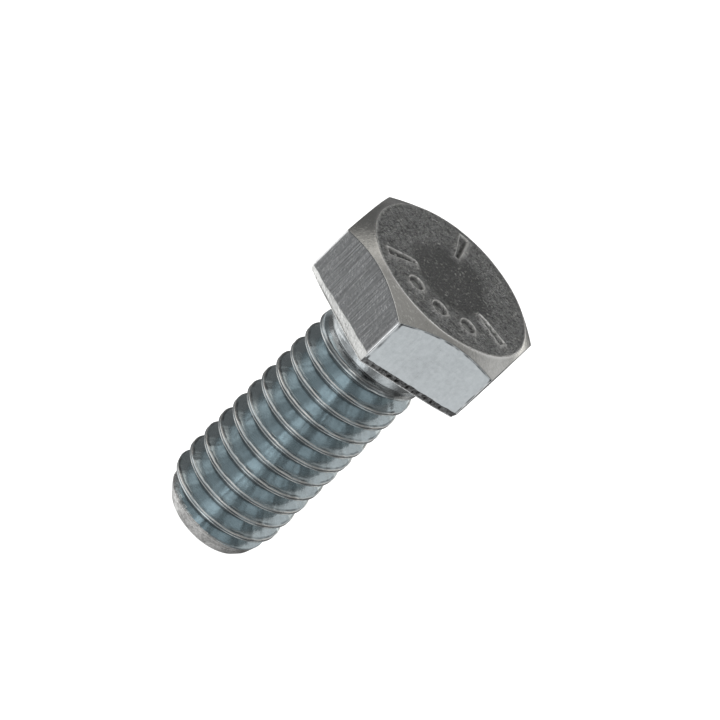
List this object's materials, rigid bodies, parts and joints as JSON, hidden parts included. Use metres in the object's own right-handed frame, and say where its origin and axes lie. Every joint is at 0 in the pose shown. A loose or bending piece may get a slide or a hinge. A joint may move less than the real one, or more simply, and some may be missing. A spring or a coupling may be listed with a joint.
{
  "type": "hex bolt",
  "caption": "Short fully threaded steel bolt with a chamfered hexagon head, raised bearing face, neck fillet, right-hand coarse thread and tapered point.",
  "frame": {"origin": "centre of the bearing face, the ring under the head that the joint is clamped by", "axes": "+Z along the axis of the bolt, from the point towards the top of the head; +X square to one pair of the head's flats"},
  "size_m": [0.0126, 0.0146, 0.0236],
  "materials": {
    "head_zinc": "zinc plated, satin, with the grain of the trimming die",
    "neck_zinc": "zinc plated, smooth satin",
    "thread_zinc": "zinc plated with a faint blue passivate, bright rolled flanks",
    "point_zinc": "zinc plated, pale and slightly rough"
  },
  "bodies": {
    "root": {"hex_head": "head_zinc", "washer_face": "head_zinc", "neck": "neck_zinc", "shank_core": "thread_zinc", "thread": "thread_zinc", "point": "point_zinc"}
  },
  "joints": []
}
